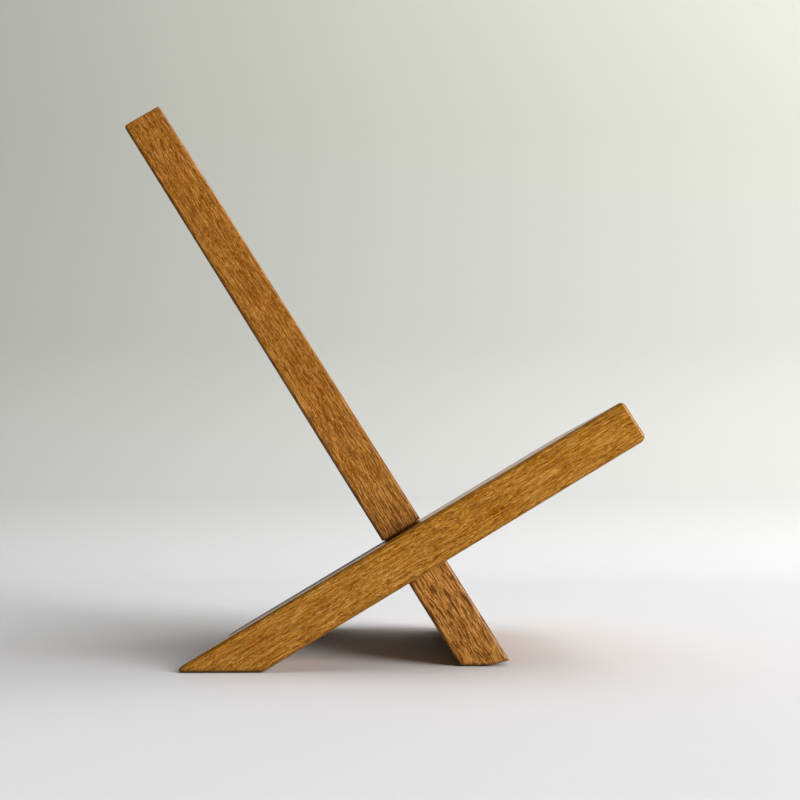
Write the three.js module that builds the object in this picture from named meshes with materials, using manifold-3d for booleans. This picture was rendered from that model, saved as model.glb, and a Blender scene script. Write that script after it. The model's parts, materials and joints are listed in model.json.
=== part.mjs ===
// A book display stand: two plain planks that cross in an X and hold each other up with no hardware.
//
// The seat board is a fork. Its two prongs straddle the back board and reach the floor behind it. The back
// board has a notch in each side edge, so the neck left between the notches sits in the fork's slot and
// the prongs rest on the lower shoulders of the notches. Pulling the seat board out along its own slope
// takes the stand apart.
//
// Millimetres. +X points at the reader, Y runs along the width, +Z is up. The origin is the middle of the
// assembled stand, at the level that it stands on.

import * as THREE from 'three';
import { mergeVertices } from 'three/addons/utils/BufferGeometryUtils.js';
import Module from 'manifold-3d';

const wasm = await Module();
wasm.setup();

// Driving dimensions
const THICKNESS = 20;
const SEAT_WIDTH = 150;
const BACK_WIDTH = 122;
const SEAT_LENGTH = 196; // along the underside, from the heel to the front end
const BACK_LENGTH = 315.5; // along the front face, from the floor to the top end
const SEAT_SLOPE = THREE.MathUtils.degToRad(30.5); // above the floor
const BACK_LEAN = THREE.MathUtils.degToRad(57.7); // above the floor, leaning away from the reader
const FOOT_SPREAD = 108.9; // on the floor, from the seat's heel to the back board's front face
const SLOT_WIDTH = SEAT_WIDTH / 3;
const FIT_GAP = 0.3; // between faces that touch when the stand is together
const NOTCH_PLAY = 1; // above the seat, where each notch is cut a little high

// Eased edges
const LONG_EDGE_RADIUS = 1.7;
const SEAT_FRONT_RADII = { lower: 3.2, upper: 2.2 };
const SEAT_FOOT_RADII = { tip: 1.7, heel: 4 };
const BACK_TOP_RADII = { front: 1.2, rear: 1.8 };
const BACK_FOOT_RADII = { toe: 0.8, relief: 30, rear: 2.8 };
const TOE_RELIEF_LENGTH = 11;
const TOE_RELIEF_HEIGHT = 1.7;

const ARC_STEPS = 6; // segments in a quarter of a round edge
const OVERCUT = 10; // how far a cutting block runs past what it cuts

const WOOD_COLOUR = 0x966224;
const WOOD_ROUGHNESS = 0.5;

// Both boards are drawn lying flat in a frame of their own: x runs up the slope, y along the width, and z
// from the face that meets the floor at the origin (0) to the opposite face (THICKNESS).
const backSlope = Math.PI - BACK_LEAN;
const neckWidth = SLOT_WIDTH - 2 * FIT_GAP;

function placement(slope, floorX) {
  const matrix = new THREE.Matrix4().makeRotationY(-slope);
  return matrix.setPosition(floorX, 0, 0);
}

const seatPlacement = placement(SEAT_SLOPE, 0);
const backPlacement = placement(backSlope, FOOT_SPREAD);

// Where a board's far face (z = THICKNESS) meets the floor, along the board.
function footEnd(slope) {
  return -THICKNESS / Math.tan(slope);
}

// A closed outline whose corners, given as [x, y, radius], are rounded with tangent arcs.
function roundedOutline(corners) {
  const shape = new THREE.Shape();
  corners.forEach(([x, y, radius], i) => {
    const corner = new THREE.Vector2(x, y);
    const [px, py] = corners.at(i - 1);
    const [nx, ny] = corners[(i + 1) % corners.length];
    const toPrevious = new THREE.Vector2(px, py).sub(corner).normalize();
    const toNext = new THREE.Vector2(nx, ny).sub(corner).normalize();
    const halfAngle = Math.acos(THREE.MathUtils.clamp(toPrevious.dot(toNext), -1, 1)) / 2;
    const bisector = toPrevious.clone().add(toNext).normalize();
    const centre = corner.clone().addScaledVector(bisector, radius / Math.sin(halfAngle));
    const tangentLength = radius / Math.tan(halfAngle);
    const start = corner.clone().addScaledVector(toPrevious, tangentLength).sub(centre);
    const end = corner.clone().addScaledVector(toNext, tangentLength).sub(centre);
    shape.absarc(centre.x, centre.y, radius, start.angle(), end.angle(), start.cross(end) < 0);
  });
  return shape;
}

// A rounded outline extruded by a depth and laid on the three axes given.
function prism(corners, depth, axes) {
  const options = { depth, bevelEnabled: false, curveSegments: ARC_STEPS };
  const geometry = new THREE.ExtrudeGeometry(roundedOutline(corners), options);
  return geometry.applyMatrix4(new THREE.Matrix4().makeBasis(...axes));
}

function solid(geometry) {
  const bare = geometry.clone();
  bare.deleteAttribute('normal');
  bare.deleteAttribute('uv');
  const merged = mergeVertices(bare);
  const vertProperties = new Float32Array(merged.getAttribute('position').array);
  const triVerts = new Uint32Array(merged.getIndex().array);
  return new wasm.Manifold(new wasm.Mesh({ numProp: 3, vertProperties, triVerts }));
}

function boardMesh(name, body, matrix) {
  const { vertProperties, triVerts } = body.getMesh();
  const geometry = new THREE.BufferGeometry();
  geometry.setAttribute('position', new THREE.BufferAttribute(vertProperties, 3));
  geometry.setIndex(new THREE.BufferAttribute(triVerts, 1));
  geometry.computeVertexNormals();
  const material = new THREE.MeshStandardMaterial({
    color: WOOD_COLOUR,
    roughness: WOOD_ROUGHNESS,
    metalness: 0,
  });
  const mesh = new THREE.Mesh(geometry, material);
  mesh.name = name;
  mesh.applyMatrix4(matrix);
  return mesh;
}

// A plank with its side outline given in x and z, and its four long edges rounded over.
function plank(sideCorners, width) {
  const xAxis = new THREE.Vector3(1, 0, 0);
  const yAxis = new THREE.Vector3(0, 1, 0);
  const zAxis = new THREE.Vector3(0, 0, 1);
  const side = prism(sideCorners, width, [xAxis, zAxis, yAxis.clone().negate()]);
  side.translate(0, width / 2, 0);

  const ends = sideCorners.map(([x]) => x);
  const start = Math.min(...ends) - OVERCUT;
  const reach = Math.max(...ends) + OVERCUT - start;
  const half = width / 2;
  const sectionCorners = [
    [-half, 0, LONG_EDGE_RADIUS],
    [half, 0, LONG_EDGE_RADIUS],
    [half, THICKNESS, LONG_EDGE_RADIUS],
    [-half, THICKNESS, LONG_EDGE_RADIUS],
  ];
  const section = prism(sectionCorners, reach, [yAxis, zAxis, xAxis]);
  section.translate(start, 0, 0);
  return solid(side).intersect(solid(section));
}

// The fork: a plank with a slot open at the lower end, as long as puts its closed end against the neck.
function seatBoard() {
  const sideCorners = [
    [0, 0, SEAT_FOOT_RADII.heel],
    [SEAT_LENGTH, 0, SEAT_FRONT_RADII.lower],
    [SEAT_LENGTH, THICKNESS, SEAT_FRONT_RADII.upper],
    [footEnd(SEAT_SLOPE), THICKNESS, SEAT_FOOT_RADII.tip],
  ];
  const neckFront = (FOOT_SPREAD * Math.sin(BACK_LEAN)) / Math.sin(BACK_LEAN + SEAT_SLOPE);
  const slotEnd = neckFront + FIT_GAP;
  const slotStart = footEnd(SEAT_SLOPE) - OVERCUT;
  const slot = new THREE.BoxGeometry(slotEnd - slotStart, SLOT_WIDTH, THICKNESS + 2 * OVERCUT);
  slot.translate((slotStart + slotEnd) / 2, 0, THICKNESS / 2);
  return plank(sideCorners, SEAT_WIDTH).subtract(solid(slot));
}

// The block that cuts one side notch, in the seat board's frame: the prong's path and its clearances.
function notchBlock(side) {
  const depth = (BACK_WIDTH - neckWidth) / 2 + OVERCUT;
  const block = new THREE.BoxGeometry(SEAT_LENGTH, depth, THICKNESS + NOTCH_PLAY + FIT_GAP);
  const middle = (THICKNESS + NOTCH_PLAY - FIT_GAP) / 2;
  block.translate(SEAT_LENGTH / 2, side * (neckWidth + depth) / 2, middle);
  return block;
}

// The tall plank: square at the top, cut level at the foot, with its toe eased off the floor.
function backBoard() {
  const reliefStart = new THREE.Vector2(-Math.cos(backSlope), Math.sin(backSlope));
  reliefStart.multiplyScalar(TOE_RELIEF_LENGTH);
  const sideCorners = [
    [TOE_RELIEF_HEIGHT / Math.sin(backSlope), 0, BACK_FOOT_RADII.toe],
    [BACK_LENGTH, 0, BACK_TOP_RADII.front],
    [BACK_LENGTH, THICKNESS, BACK_TOP_RADII.rear],
    [footEnd(backSlope), THICKNESS, BACK_FOOT_RADII.rear],
    [reliefStart.x, reliefStart.y, BACK_FOOT_RADII.relief],
  ];
  const backFromSeat = backPlacement.clone().invert().multiply(seatPlacement);
  const blocks = [-1, 1].map((side) => solid(notchBlock(side).applyMatrix4(backFromSeat)));
  return blocks.reduce((board, block) => board.subtract(block), plank(sideCorners, BACK_WIDTH));
}

const stand = new THREE.Group();
stand.add(boardMesh('back_board', backBoard(), backPlacement));
stand.add(boardMesh('seat_board', seatBoard(), seatPlacement));

// The boards are placed from the seat's heel, so the finished stand is moved to its own middle.
const extent = new THREE.Box3().setFromObject(stand, true);
stand.position.set(-(extent.min.x + extent.max.x) / 2, 0, -extent.min.z);

export default stand;
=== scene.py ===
"""The looks of the book display stand: both boards as fine wooden pieces, the stage, lights and camera.

Metres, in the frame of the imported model: +X towards the reader, Y along the boards' width, +Z up.
Each board is worked in a frame of its own, as in the model: x runs up its slope from where its lower
face meets the floor, y along its width, and z from that face through its thickness.
"""

import json
import math

import bmesh
import bpy
from mathutils import Matrix, Vector, noise


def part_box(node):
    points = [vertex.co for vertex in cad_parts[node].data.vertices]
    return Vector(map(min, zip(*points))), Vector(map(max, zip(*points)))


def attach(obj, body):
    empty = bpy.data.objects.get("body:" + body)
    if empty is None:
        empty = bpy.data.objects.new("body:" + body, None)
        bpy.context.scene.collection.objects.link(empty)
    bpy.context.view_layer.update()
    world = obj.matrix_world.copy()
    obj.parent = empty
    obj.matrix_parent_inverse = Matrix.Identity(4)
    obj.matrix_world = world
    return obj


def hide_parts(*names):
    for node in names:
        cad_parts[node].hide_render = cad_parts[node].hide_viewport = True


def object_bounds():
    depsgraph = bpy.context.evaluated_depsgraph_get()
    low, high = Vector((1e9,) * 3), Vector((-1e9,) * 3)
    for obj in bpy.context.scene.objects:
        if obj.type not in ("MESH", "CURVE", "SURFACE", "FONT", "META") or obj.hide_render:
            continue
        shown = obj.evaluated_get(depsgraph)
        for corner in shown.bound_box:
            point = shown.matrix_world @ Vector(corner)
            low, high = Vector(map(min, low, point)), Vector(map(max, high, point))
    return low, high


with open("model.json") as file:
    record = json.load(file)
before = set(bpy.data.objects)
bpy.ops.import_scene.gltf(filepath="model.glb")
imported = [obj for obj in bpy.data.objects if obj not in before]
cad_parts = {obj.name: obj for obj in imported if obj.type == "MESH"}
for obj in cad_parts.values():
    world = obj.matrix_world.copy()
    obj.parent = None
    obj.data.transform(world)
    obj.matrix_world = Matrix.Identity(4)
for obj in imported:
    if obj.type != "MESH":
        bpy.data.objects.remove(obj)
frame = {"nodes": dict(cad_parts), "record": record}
cad_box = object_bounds()

MM = 0.001
CLOSE = MM / 10  # points nearer than this to a plane count as in it
INNER_SHARE = 0.6  # the joint's cuts lie within this share of a board's half width

# Camera: level with the top of the crossing, close to the near side, tipped up
CAMERA_DISTANCE = 353.5 * MM  # in front of the seat board's near side
CAMERA_HEIGHT = 62.5 * MM
CAMERA_FROM_MIDDLE = 12.2 * MM
CAMERA_PITCH = math.radians(8.78)
CAMERA_YAW = math.radians(0.12)
CAMERA_ROLL = math.radians(0.15)
LENS_MM = 36.05
SENSOR_MM = 36

# Stage, in metres
SWEEP_START = 0.45  # from the stand's middle back to where the floor starts to curve up
SWEEP_BEND = 0.35
SWEEP_STEPS = 24
SWEEP_REACH = 2.5

# World: its strength as a light, and where the camera sees it
WORLD = 0.08
WORLD_SEEN = 0.55
WORLD_COLOUR = (0.98, 1.0, 0.98, 1)

# Lights: azimuth and elevation in degrees, distance and size in metres, watts, colour
WINDOW = (58, 17, 4.0, (2.5, 1.5), 190, (1.0, 0.99, 0.97))
SKYLIGHT = (105, 60, 2.0, (1.8, 1.4), 20, (1.0, 1.0, 0.99))
CEILING = (0, 88, 2.0, (2.0, 2.0), 10, (1.0, 1.0, 0.99))

# Fine shape of the boards
LONG_EDGE = 1.7 * MM  # rounding along the boards
END_SIDE_EDGE = 1.7 * MM  # rounding down the sides of the free ends
FOOT_SIDE_EDGE = 2.0 * MM
SEAT_FRONT_EDGES = (3.2 * MM, 2.2 * MM)  # lower, upper
SEAT_FOOT_EDGES = (4.0 * MM, 1.7 * MM)  # heel, tip
BACK_TOP_EDGES = (1.2 * MM, 1.8 * MM)  # front, rear
BACK_FOOT_EDGES = (0.8 * MM, 2.8 * MM)  # toe, rear
SLOT_EDGE = 2.2 * MM  # along the slot and the neck, eased so that they slide
SAWN_EDGE = 0.15 * MM  # at the ends of the slot and the notches
NOTCH_EASE = 0.4 * MM  # cut off the notches' upper shoulders beyond the model's play
WIDEST_BEVEL = 8 * MM
EDGE_STEPS = 5
SLICE = 3 * MM  # spacing of the cuts that let the surface be worn
SAME_PLACE = 1e-7  # metres within which a cut goes through a corner
WEAR_SCALE = (30, 60, 60)  # bumps per metre along, across and through the board
WEAR_DEPTH = 0.16 * MM  # most that handling has taken off a rounded edge
HOLLOW_DEPTH = 0.06 * MM  # most that sanding has hollowed a face
CREASE_ANGLE = math.radians(12)  # flatter edges stay unrounded
SMOOTH_ANGLE = math.radians(32)  # flatter edges are shaded smooth
SEAT_SEED = 3  # so that the boards are worn differently
BACK_SEED = 8

# Wood: colours are linear. Scales are bumps per millimetre along, across and through the board.

# Shifts of the grain: scale, reach in millimetres, detail
WANDER = ((0.010, 0.03, 0.03), (0, 12, 8), 1.0)
WAVER = ((0.06, 0.10, 0.10), (0, 1.8, 1.8), 2.0)
RAGGEDNESS = ((0.30, 0.35, 0.35), (0, 0.25, 0.25), 1.0)
VEIN_WAVE = ((0.10, 0.20, 0.20), (0, 2.2, 2.2), 1.0)  # the veins' own, on top of the others

# Patterns in the wood: scale, detail, roughness
STREAK_NOISE = ((0.07, 3.1, 3.1), 2.0, 0.6)
FIBRE_NOISE = ((0.55, 8.0, 8.0), 2.0, 0.6)
CLOUD_NOISE = ((0.02, 0.09, 0.09), 2.0, 0.5)
PORE_NOISE = ((0.18, 4.3, 4.3), 1.5, 0.6)
VEIN_NOISE = ((0.085, 1.6, 1.6), 2.0, 0.5)
TONE_RANGE = (0.3, 0.7)  # of the noise, where it goes from darkest to palest
GLOSS_RANGE = (0.25, 0.75)  # of the noise, where it goes from smoothest to roughest
NOISE_MIDDLE = 0.5  # of the noise, which runs from 0 to 1

# How much each counts in the tone, of which 0 to 1 spans a board's tones from dark to pale
STREAK = 0.78
RING = 0.12
FIBRE = 0.90
CLOUD = 0.25
BOLD_PALENESS = 0.25
KNOT_DARKNESS = 0.3

RING_SPACING = 2.4  # millimetres
RING_FADE = 0.3  # share of the spacing in which a ring fades in, and again in which it fades out

# Pores and veins start where their noise passes an edge, and reach their full depth a width further on
PORE_EDGE = 0.54
PORE_WIDTH = 0.10
PORE_DEPTH = 0.85
VEIN_EDGE = 0.52
VEIN_WIDTH = 0.045
VEIN_DEPTH = 0.85
BOLD_REACH = (45, 170)  # millimetres up the board between which the veins fade to their upper boldness

SEAT_TONES = (
    (0.0, (0.135, 0.044, 0.001)),
    (0.35, (0.265, 0.099, 0.002)),
    (0.65, (0.38, 0.164, 0.012)),
    (1.0, (0.58, 0.32, 0.085)),
)
BACK_TONES = (
    (0.0, (0.140, 0.043, 0.003)),
    (0.35, (0.265, 0.096, 0.008)),
    (0.65, (0.38, 0.160, 0.022)),
    (1.0, (0.58, 0.31, 0.10)),
)
PORE_COLOUR = (0.095, 0.028, 0.0)
# The colour of end grain, also used for the painted shade on the rounded edges and the painted contact
# shadow at the feet
END_GRAIN_AND_SHADE = (0.045, 0.018, 0.002)
END_FACING = (0.5, 0.95)  # how squarely a face ends the grain when it starts to darken, and when it is dark
END_DARKNESS = 0.8
END_RING_DARKNESS = 0.45  # in the rings
# Painted shade at the feet, in place of their contact shadow on the floor
FOOT_SHADE_HEIGHTS = (0.3, 1.6)  # millimetres from the floor between which the painted contact shadow at the feet fades
FOOT_SHADE_DARKNESS = 0.9
EDGE_SHADE = 0.35  # painted shade, halfway round a rounded outer edge
EDGE_SHADE_REACH = 4  # millimetres in from the sides within which the rounded edges get painted shade
ROUGHNESS = (0.16, 0.25)  # of the smoothest and the roughest fibres
PORE_ROUGHNESS = 0.2  # added to that in a pore
SPECULAR = 0.2
PORE_HOLLOW = 0.1 * MM
FIBRE_RELIEF = 0.3  # height of the fibres, as a share of a pore's hollow
BUMP_STRENGTH = 0.2

# Pin knots: place in millimetres, size, push
SEAT_KNOT = ((121.5, -75, 7), 3.0, 1.2)  # on the near side, just up the slope from the crossing
BACK_KNOT = ((132, -61, 10), 3.5, 0.9)  # on the near side, above the crossing
KNOT_STRETCH = (0.3, 0.08, 1)  # makes a knot longer along the grain, and deep into the board
KNOT_SWING = 0.6  # millimetres above and below a knot within which its push turns round

# Each board's own wood: its offset in the tree and the tree's pith (y, z) in millimetres, its knots, tones
# and paleness, and how bold its veins are at the foot and further up
SEAT_WOOD = ((300, 40, 25), (25, -110), [SEAT_KNOT], SEAT_TONES, -0.30, (0.35, 0.30))
BACK_WOOD = ((900, 160, 75), (160, -60), [BACK_KNOT], BACK_TONES, -0.37, (1.0, 0.4))

PAPER_COLOURS = (  # by height in metres
    (0.0, (0.65, 0.65, 0.675)),
    (0.10, (0.51, 0.515, 0.505)),
    (0.7, (0.46, 0.465, 0.425)),
)
PAPER_ROUGHNESS = 0.7
PAPER_SPECULAR = 0.2


# The boards' own frames --------------------------------------------------------------------------------


class Board:
    """A board's place and size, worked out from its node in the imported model."""

    def __init__(self, node, slope):
        turn = Matrix.Rotation(-slope, 4, "Y")
        unturn = turn.inverted()
        points = [unturn @ v.co for v in frame["nodes"][node].data.vertices]
        base = min(p.z for p in points)
        floor_x = -base / math.tan(slope)
        self.origin = Vector((floor_x, 0, base))
        self.matrix = turn @ Matrix.Translation(self.origin)
        self.points = [p - self.origin for p in points]
        self.slope = slope
        self.thickness = max(p.z for p in self.points)
        self.length = max(p.x for p in self.points)
        self.half_width = max(p.y for p in self.points)
        self.inner = [p for p in self.points if abs(p.y) < self.half_width * INNER_SHARE]
        self.half_cut = max(p.y for p in self.inner)

    def floor_x(self, z):
        """Where the floor cuts the board at the height z of its thickness."""
        return -z / math.tan(self.slope)

    def inner_x(self, z, pick):
        """The lowest or highest x of the joint's cut at the height z."""
        return pick(p.x for p in self.inner if abs(p.z - z) < CLOSE)


def board_slopes():
    """The seat slides along its own slope; the back board's slope is square to its front face."""
    record = frame["record"]
    slide = Vector(record["behaviour"]["joints"][0]["axis"])
    face = next(Vector(m["axis"]) for m in record["mounts"] if m["name"] == "book_rest")
    return math.atan2(slide.z, slide.x), math.pi / 2 + math.atan2(face.z, face.x)


def toe_relief(board):
    """The corners of the eased toe: on the front face, and where the flat of the foot starts."""
    toe = min((p for p in board.points if p.z < CLOSE), key=lambda p: p.x)
    flat = [p for p in board.points if (board.matrix @ p).z < CLOSE]
    return toe.x, min(p.z for p in flat)


# Objects and meshes ------------------------------------------------------------------------------------


def add_object(name, data):
    """A new object, put in the scene."""
    obj = bpy.data.objects.new(name, data)
    bpy.context.scene.collection.objects.link(obj)
    return obj


def cells(levels, columns, rows, filled):
    """A solid of six-sided cells: x is given for each column and level, y for each row.

    Edges carry no rounding yet; `filled(column, row)` says which cells hold wood.
    """
    bm = bmesh.new()
    corners = {}

    def corner(i, j, k):
        if (i, j, k) not in corners:
            corners[i, j, k] = bm.verts.new((columns[i][k], rows[j], levels[k]))
        return corners[i, j, k]

    def solid(i, j, k):
        inside = 0 <= i < len(columns) - 1 and 0 <= j < len(rows) - 1 and 0 <= k < len(levels) - 1
        return inside and filled(i, j)

    sides = (
        ((-1, 0, 0), ((0, 0, 0), (0, 0, 1), (0, 1, 1), (0, 1, 0))),
        ((1, 0, 0), ((1, 0, 0), (1, 1, 0), (1, 1, 1), (1, 0, 1))),
        ((0, -1, 0), ((0, 0, 0), (1, 0, 0), (1, 0, 1), (0, 0, 1))),
        ((0, 1, 0), ((0, 1, 0), (0, 1, 1), (1, 1, 1), (1, 1, 0))),
        ((0, 0, -1), ((0, 0, 0), (0, 1, 0), (1, 1, 0), (1, 0, 0))),
        ((0, 0, 1), ((0, 0, 1), (1, 0, 1), (1, 1, 1), (0, 1, 1))),
    )
    for i in range(len(columns) - 1):
        for j in range(len(rows) - 1):
            for k in range(len(levels) - 1):
                if not solid(i, j, k):
                    continue
                for (di, dj, dk), around in sides:
                    if not solid(i + di, j + dj, k + dk):
                        bm.faces.new([corner(i + a, j + b, k + c) for a, b, c in around])
    return bm


def seat_cells(board):
    """The seat board: a fork, open at its foot."""
    levels = (0, board.thickness)
    slot_end = board.inner_x(0, max)
    columns = (
        [board.floor_x(z) for z in levels],
        [slot_end for z in levels],
        [board.length for z in levels],
    )
    rows = (-board.half_width, -board.half_cut, board.half_cut, board.half_width)
    return cells(levels, columns, rows, lambda i, j: i == 1 or j != 1)


def back_cells(board):
    """The back board: notched from both sides, with its toe eased."""
    toe_x, relief_z = toe_relief(board)
    levels = (0, relief_z, board.thickness)

    def slanted(pick):
        front, rear = board.inner_x(0, pick), board.inner_x(board.thickness, pick)
        return [front + (rear - front) * z / board.thickness for z in levels]

    columns = (
        [toe_x] + [board.floor_x(z) for z in levels[1:]],
        slanted(min),
        [x + NOTCH_EASE for x in slanted(max)],
        [board.length for z in levels],
    )
    rows = (-board.half_width, -board.half_cut, board.half_cut, board.half_width)
    return cells(levels, columns, rows, lambda i, j: i != 1 or j == 1)


def edge_radius(board, edge, foot_edges, top_edges):
    """How round an edge is, from where it lies on the board."""
    if len(edge.link_faces) != 2 or edge.calc_face_angle(0) < CREASE_ANGLE:
        return 0.0
    middle = (edge.verts[0].co + edge.verts[1].co) / 2
    along = edge.verts[1].co - edge.verts[0].co
    upper = middle.z > board.thickness / 2
    on_top = middle.x > board.length - MM
    on_foot = (board.matrix @ middle).z < 2 * MM
    if abs(along.y) > MM:
        if on_top:
            return top_edges[upper]
        return foot_edges[upper] if on_foot else SAWN_EDGE
    runs_along = abs(abs(along.x) - along.length) < MM
    if abs(middle.y) < board.half_width - MM:
        return SLOT_EDGE if runs_along else SAWN_EDGE
    if on_top:
        return END_SIDE_EDGE
    if on_foot:
        return FOOT_SIDE_EDGE
    return LONG_EDGE if runs_along else SAWN_EDGE


def apply_modifiers(obj):
    """Makes the mesh what the modifiers show, and drops them."""
    depsgraph = bpy.context.evaluated_depsgraph_get()
    result = bpy.data.meshes.new_from_object(obj.evaluated_get(depsgraph))
    obj.modifiers.clear()
    obj.data = result


def round_edges(obj, board, foot_edges, top_edges):
    """Rounds each edge by its own radius with one weighted bevel."""
    bm = bmesh.new()
    bm.from_mesh(obj.data)
    weight = bm.edges.layers.float.new("bevel_weight_edge")
    for edge in bm.edges:
        radius = edge_radius(board, edge, foot_edges, top_edges)
        edge[weight] = radius * math.tan(edge.calc_face_angle(0) / 2) / WIDEST_BEVEL
    bm.to_mesh(obj.data)
    bm.free()
    bevel = obj.modifiers.new("round", "BEVEL")
    bevel.limit_method = "WEIGHT"
    bevel.width = WIDEST_BEVEL
    bevel.segments = EDGE_STEPS
    bevel.use_clamp_overlap = False
    apply_modifiers(obj)


def slice_along(bm, axis, low, high):
    """Cuts the mesh by evenly spaced planes square to an axis, so that its surface can be worn."""
    normal = Vector((0, 0, 0))
    normal[axis] = 1
    count = int((high - low) / SLICE)
    for i in range(1, count):
        place = normal * (low + (high - low) * i / count)
        geometry = bm.verts[:] + bm.edges[:] + bm.faces[:]
        bmesh.ops.bisect_plane(bm, geom=geometry, plane_co=place, plane_no=normal, dist=SAME_PLACE)


def wear(bm, board, seed):
    """Takes a little off the surface: unevenly along the rounded edges, and slight hollows elsewhere."""
    bm.normal_update()
    for v in bm.verts:
        from_side = board.half_width - abs(v.co.y)
        from_face = min(v.co.z, board.thickness - v.co.z)
        edge = max(0.0, 1 - max(from_side, from_face) / LONG_EDGE)
        place = Vector([part * scale for part, scale in zip(v.co, WEAR_SCALE)]) + Vector((seed, 0, 0))
        # This noise runs from -1 to 1.
        rough = 0.5 + noise.noise(place * 2) / 2
        hollow = 0.5 + noise.noise(place) / 2
        depth = max(WEAR_DEPTH * edge * rough, HOLLOW_DEPTH * hollow)
        v.co -= v.normal * depth


def board_piece(name, board, base, foot_edges, top_edges, seed):
    """A fine board: its cells rounded, sliced and worn, then put in its place."""
    mesh = bpy.data.meshes.new(name)
    base.to_mesh(mesh)
    base.free()
    piece = add_object(name, mesh)
    round_edges(piece, board, foot_edges, top_edges)
    bm = bmesh.new()
    bm.from_mesh(piece.data)
    slice_along(bm, 0, board.floor_x(board.thickness), board.length)
    slice_along(bm, 1, -board.half_width, board.half_width)
    wear(bm, board, seed)
    bm.to_mesh(piece.data)
    bm.free()
    piece.data.transform(board.matrix)
    for v in piece.data.vertices:
        v.co.z = max(v.co.z, 0.0)  # the rounding of a foot may dip just below the floor
    piece.data.shade_smooth()
    piece.data.set_sharp_from_angle(angle=SMOOTH_ANGLE)
    flats = piece.modifiers.new("flats", "WEIGHTED_NORMAL")  # so that flat faces shade flat to their edges
    flats.keep_sharp = True
    apply_modifiers(piece)
    return piece


# Materials ---------------------------------------------------------------------------------------------


class Nodes:
    """Short calls for building a material's nodes."""

    def __init__(self, name):
        self.material = bpy.data.materials.new(name)
        self.material.use_nodes = True
        self.tree = self.material.node_tree
        self.shader = self.tree.nodes["Principled BSDF"]

    def add(self, kind, inputs=(), **settings):
        node = self.tree.nodes.new(kind)
        for key, value in settings.items():
            setattr(node, key, value)
        for key, value in dict(inputs).items():
            self.put(node.inputs[key], value)
        return node

    def put(self, socket, value):
        if isinstance(value, bpy.types.NodeSocket):
            self.tree.links.new(value, socket)
        else:
            socket.default_value = value

    def math(self, operation, a, b=0.0):
        return self.add("ShaderNodeMath", {0: a, 1: b}, operation=operation).outputs[0]

    def vector(self, operation, a, b):
        return self.add("ShaderNodeVectorMath", {0: a, 1: b}, operation=operation).outputs[0]

    def length(self, a):
        return self.add("ShaderNodeVectorMath", {0: a}, operation="LENGTH").outputs["Value"]

    def split(self, vector):
        """The three parts of a vector."""
        return self.add("ShaderNodeSeparateXYZ", {0: vector}).outputs

    def noise(self, place, scale, detail, roughness=0.5, output="Fac"):
        """Noise over places in millimetres; scale is how many bumps there are per millimetre each way."""
        stretched = self.vector("MULTIPLY", place, scale)
        inputs = {"Vector": stretched, "Scale": 1.0, "Detail": detail, "Roughness": roughness}
        return self.add("ShaderNodeTexNoise", inputs).outputs[output]

    def shift(self, place, scale, reach, detail):
        """Moves places about smoothly, by up to about half of `reach` each way."""
        wander = self.noise(place, scale, detail, output="Color")
        centred = self.vector("SUBTRACT", wander, (NOISE_MIDDLE, NOISE_MIDDLE, NOISE_MIDDLE))
        return self.vector("ADD", place, self.vector("MULTIPLY", centred, reach))

    def ramp(self, value, low, high, to_low=0.0, to_high=1.0):
        inputs = {"Value": value, "From Min": low, "From Max": high, "To Min": to_low, "To Max": to_high}
        return self.add("ShaderNodeMapRange", inputs, clamp=True).outputs[0]

    def mix(self, factor, a, b):
        node = self.add("ShaderNodeMix", data_type="RGBA")
        self.put(node.inputs[0], factor)
        self.put(node.inputs[6], a)
        self.put(node.inputs[7], b)
        return node.outputs[2]

    def colours(self, value, stops):
        ramp = self.add("ShaderNodeValToRGB", {"Fac": value})
        elements = ramp.color_ramp.elements
        while len(elements) < len(stops):
            elements.new(0.5)
        for element, (position, colour) in zip(elements, stops):
            element.position = position
            element.color = (*colour, 1)
        return ramp.outputs["Color"]


def board_place(n, board):
    """Places and normals in the board's own frame, and heights above the floor, in millimetres."""
    coordinates = n.add("ShaderNodeTexCoord")
    inputs = {
        "Vector": coordinates.outputs["Object"],
        "Location": -board.origin / MM,
        "Rotation": (0, board.slope, 0),
        "Scale": (1 / MM, 1 / MM, 1 / MM),
    }
    place = n.add("ShaderNodeMapping", inputs, vector_type="POINT").outputs[0]
    turned = {"Vector": coordinates.outputs["Normal"], "Rotation": (0, board.slope, 0)}
    normal = n.add("ShaderNodeMapping", turned, vector_type="VECTOR").outputs[0]
    height = n.split(coordinates.outputs["Object"])[2]
    return place, normal, n.math("DIVIDE", height, MM)


def knot(n, place, centre, size, push):
    """A pin knot: the grain swells round it. Returns the moved places and how near the knot is."""
    away = n.vector("MULTIPLY", n.vector("SUBTRACT", place, centre), KNOT_STRETCH)
    nearness = n.math("POWER", n.ramp(n.length(away), 0, size, 1, 0), 2)
    side = n.ramp(n.split(away)[2], -KNOT_SWING, KNOT_SWING, push, -push)
    lift = n.add("ShaderNodeCombineXYZ", {2: n.math("MULTIPLY", side, nearness)}).outputs[0]
    return n.vector("ADD", place, lift), nearness


def knots_in(n, place, knots):
    """The places moved by every knot, and how near the nearest is."""
    nearness = 0.0
    for centre, size, push in knots:
        place, near = knot(n, place, centre, size, push)
        nearness = n.math("MAXIMUM", near, nearness)
    return place, nearness


def bend_grain(n, place):
    """The grain wanders along the board, wavers every centimetre or two and is ragged at its finest."""
    for bend in (WANDER, WAVER, RAGGEDNESS):
        place = n.shift(place, *bend)
    return place


def growth_rings(n, grain, pith):
    """Rings round a pith that lies outside the board."""
    across = n.vector("MULTIPLY", n.vector("SUBTRACT", grain, (0, *pith)), (0, 1, 1))
    phase = n.math("FRACT", n.math("DIVIDE", n.length(across), RING_SPACING))
    return n.math("MULTIPLY", n.ramp(phase, 0, RING_FADE), n.ramp(phase, 1 - RING_FADE, 1, 1, 0))


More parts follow.
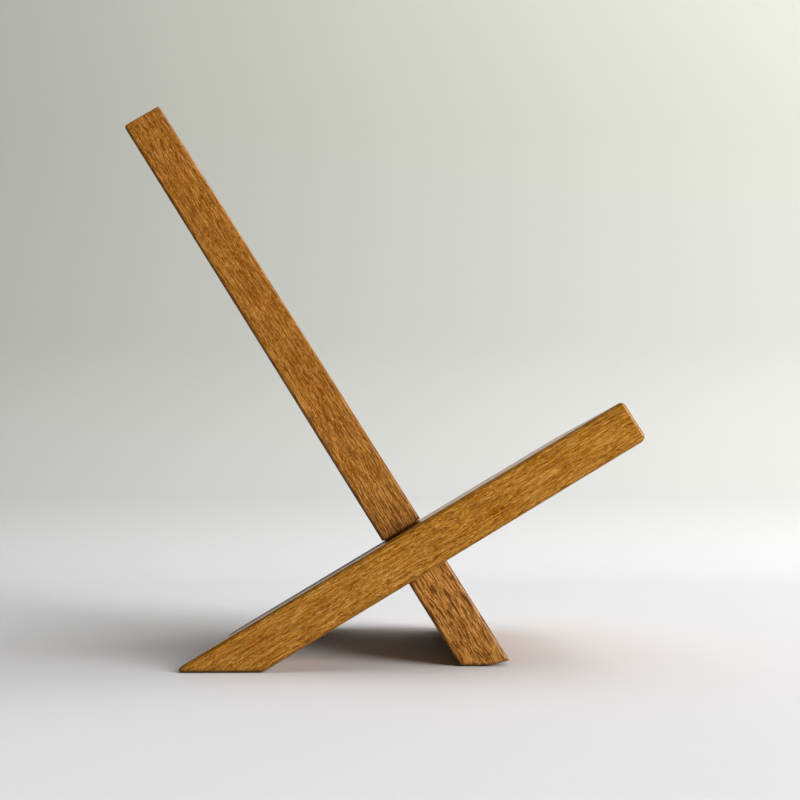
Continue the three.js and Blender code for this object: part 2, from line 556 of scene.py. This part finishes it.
def pores_and_veins(n, grain, bold):
    """Short pores everywhere, and thin dark veins where the board is bold."""
    pore = n.ramp(n.noise(grain, *PORE_NOISE), PORE_EDGE, PORE_EDGE + PORE_WIDTH, 0, PORE_DEPTH)
    waved = n.shift(grain, *VEIN_WAVE)
    vein = n.ramp(n.noise(waved, *VEIN_NOISE), VEIN_EDGE, VEIN_EDGE + VEIN_WIDTH, 0, VEIN_DEPTH)
    return n.math("MAXIMUM", pore, n.math("MULTIPLY", vein, bold))


def darkened(n, board, place, normal, height, ring):
    """How dark the wood is on end grain, which drinks more oil, with painted shade on the rounded outer
    edges and a painted contact shadow at the feet.
    """
    along, across, through = [n.math("ABSOLUTE", part) for part in n.split(normal)]
    ring_darkness = n.ramp(ring, 0, 1, END_DARKNESS, END_RING_DARKNESS)
    end = n.math("MULTIPLY", n.ramp(along, *END_FACING), ring_darkness)
    # Painted contact shadow just above the floor, darkest where the feet stand
    foot_shade = n.ramp(height, *FOOT_SHADE_HEIGHTS, FOOT_SHADE_DARKNESS, 0)
    # Painted shade on the rounded outer edges, strongest halfway round, from how their normals face
    from_middle = n.math("ABSOLUTE", n.split(place)[1])
    side = board.half_width / MM
    edge_shade_strip = n.ramp(from_middle, side - EDGE_SHADE_REACH, side - EDGE_SHADE_REACH / 2, 0, 2 * EDGE_SHADE)
    edge = n.math("MULTIPLY", n.math("MULTIPLY", across, through), edge_shade_strip)
    return n.math("MAXIMUM", n.math("MAXIMUM", end, foot_shade), edge)


def wood(name, board, offset, pith, knots, tones, paleness, boldness):
    """Oiled open-pored hardwood whose grain runs along the board."""
    n = Nodes(name)
    place, normal, height = board_place(n, board)
    swollen, nearness = knots_in(n, place, knots)
    in_tree = n.vector("ADD", swollen, offset)
    grain = bend_grain(n, in_tree)
    ring = growth_rings(n, grain, pith)
    fibre = n.noise(grain, *FIBRE_NOISE)
    bold = n.ramp(n.split(place)[0], *BOLD_REACH, *boldness)

    tone = paleness
    for amount, weight in (
        (n.ramp(n.noise(grain, *STREAK_NOISE), *TONE_RANGE), STREAK),
        (ring, RING),
        (n.ramp(fibre, *TONE_RANGE), FIBRE),
        (n.math("SUBTRACT", n.noise(in_tree, *CLOUD_NOISE), NOISE_MIDDLE), CLOUD),
        (nearness, -KNOT_DARKNESS),
        (bold, BOLD_PALENESS),
    ):
        tone = n.math("ADD", tone, n.math("MULTIPLY", amount, weight))
    pores = pores_and_veins(n, grain, bold)
    colour = n.mix(pores, n.colours(tone, tones), (*PORE_COLOUR, 1))
    # End grain darkens, and painted shade and a painted contact shadow go on the rounded edges and the feet
    colour = n.mix(darkened(n, board, place, normal, height, ring), colour, (*END_GRAIN_AND_SHADE, 1))
    n.put(n.shader.inputs["Base Color"], colour)

    roughness = n.ramp(fibre, *GLOSS_RANGE, *ROUGHNESS)
    roughness = n.math("ADD", roughness, n.math("MULTIPLY", pores, PORE_ROUGHNESS))
    n.put(n.shader.inputs["Roughness"], roughness)
    n.shader.inputs["Specular IOR Level"].default_value = SPECULAR

    relief = n.math("SUBTRACT", n.math("MULTIPLY", fibre, FIBRE_RELIEF), pores)
    bump = {"Strength": BUMP_STRENGTH, "Distance": PORE_HOLLOW, "Height": relief}
    n.put(n.shader.inputs["Normal"], n.add("ShaderNodeBump", bump).outputs["Normal"])
    return n.material


def paper():
    """The pale sweep that the stand is shown on."""
    n = Nodes("pale_paper")
    height = n.split(n.add("ShaderNodeTexCoord").outputs["Object"])[2]
    n.put(n.shader.inputs["Base Color"], n.colours(height, PAPER_COLOURS))
    n.shader.inputs["Roughness"].default_value = PAPER_ROUGHNESS
    n.shader.inputs["Specular IOR Level"].default_value = PAPER_SPECULAR
    return n.material


# Stage, lights and camera ------------------------------------------------------------------------------


def sweep():
    """A floor that curves up into a wall behind the stand."""
    outline = [(-SWEEP_REACH, 0.0)]
    for i in range(SWEEP_STEPS + 1):
        angle = math.pi / 2 * i / SWEEP_STEPS
        outline.append((SWEEP_START + SWEEP_BEND * math.sin(angle), SWEEP_BEND * (1 - math.cos(angle))))
    outline.append((SWEEP_START + SWEEP_BEND, SWEEP_REACH))
    bm = bmesh.new()
    rows = [[bm.verts.new((x, y, z)) for y, z in outline] for x in (-SWEEP_REACH, SWEEP_REACH)]
    for i in range(len(outline) - 1):
        bm.faces.new((rows[0][i], rows[1][i], rows[1][i + 1], rows[0][i + 1]))
    mesh = bpy.data.meshes.new("sweep")
    bm.to_mesh(mesh)
    bm.free()
    mesh.shade_smooth()
    mesh.materials.append(paper())
    backdrop = add_object("sweep", mesh)


def area_light(name, azimuth, elevation, distance, size, power, colour):
    """A soft panel aimed at the stand; azimuth 0 is on the camera's side and 90 is towards +X."""
    light = bpy.data.lights.new(name, "AREA")
    light.shape = "RECTANGLE"
    light.size, light.size_y = size
    light.energy = power
    light.color = colour
    lamp = add_object(name, light)
    a, e = math.radians(azimuth), math.radians(elevation)
    out = Vector((math.sin(a) * math.cos(e), -math.cos(a) * math.cos(e), math.sin(e)))
    target = (cad_box[0] + cad_box[1]) / 2
    lamp.location = target + out * distance
    lamp.rotation_mode = "QUATERNION"
    lamp.rotation_quaternion = (-out).to_track_quat("-Z", "Y")


def studio():
    """A far window at the front right, two soft panels above, and a little light all round."""
    world = bpy.data.worlds.new("studio")
    bpy.context.scene.world = world
    world.use_nodes = True
    tree = world.node_tree
    background = tree.nodes["Background"]
    seen = tree.nodes.new("ShaderNodeLightPath").outputs["Is Camera Ray"]
    strength = tree.nodes.new("ShaderNodeMapRange")
    strength.inputs["To Min"].default_value = WORLD
    strength.inputs["To Max"].default_value = WORLD_SEEN
    tree.links.new(seen, strength.inputs["Value"])
    tree.links.new(strength.outputs["Result"], background.inputs["Strength"])
    background.inputs["Color"].default_value = WORLD_COLOUR
    area_light("window", *WINDOW)
    area_light("skylight", *SKYLIGHT)
    area_light("ceiling", *CEILING)


def camera():
    """The camera, squarely in front of the near side."""
    data = bpy.data.cameras.new("camera")
    data.sensor_width = SENSOR_MM
    data.lens = LENS_MM
    cam = add_object("camera", data)
    near_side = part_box("seat_board")[0].y
    cam.location = (CAMERA_FROM_MIDDLE, near_side - CAMERA_DISTANCE, CAMERA_HEIGHT)
    level = Matrix.Rotation(-CAMERA_YAW, 4, "Z") @ Matrix.Rotation(math.pi / 2 + CAMERA_PITCH, 4, "X")
    cam.rotation_euler = (level @ Matrix.Rotation(-CAMERA_ROLL, 4, "Z")).to_euler()
    bpy.context.scene.camera = cam


# The scene ---------------------------------------------------------------------------------------------

seat_slope, back_slope = board_slopes()
seat = Board("seat_board", seat_slope)
back = Board("back_board", back_slope)

camera()
sweep()
studio()

seat_piece = board_piece("seat_plank", seat, seat_cells(seat), SEAT_FOOT_EDGES, SEAT_FRONT_EDGES, SEAT_SEED)
seat_piece.data.materials.append(wood("seat_wood", seat, *SEAT_WOOD))
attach(seat_piece, "seat")
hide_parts("seat_board")

back_piece = board_piece("back_plank", back, back_cells(back), BACK_FOOT_EDGES, BACK_TOP_EDGES, BACK_SEED)
back_piece.data.materials.append(wood("back_wood", back, *BACK_WOOD))
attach(back_piece, "back")
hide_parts("back_board")

view = bpy.context.scene.view_settings
view.view_transform = "Standard"
view.look = "Medium High Contrast"
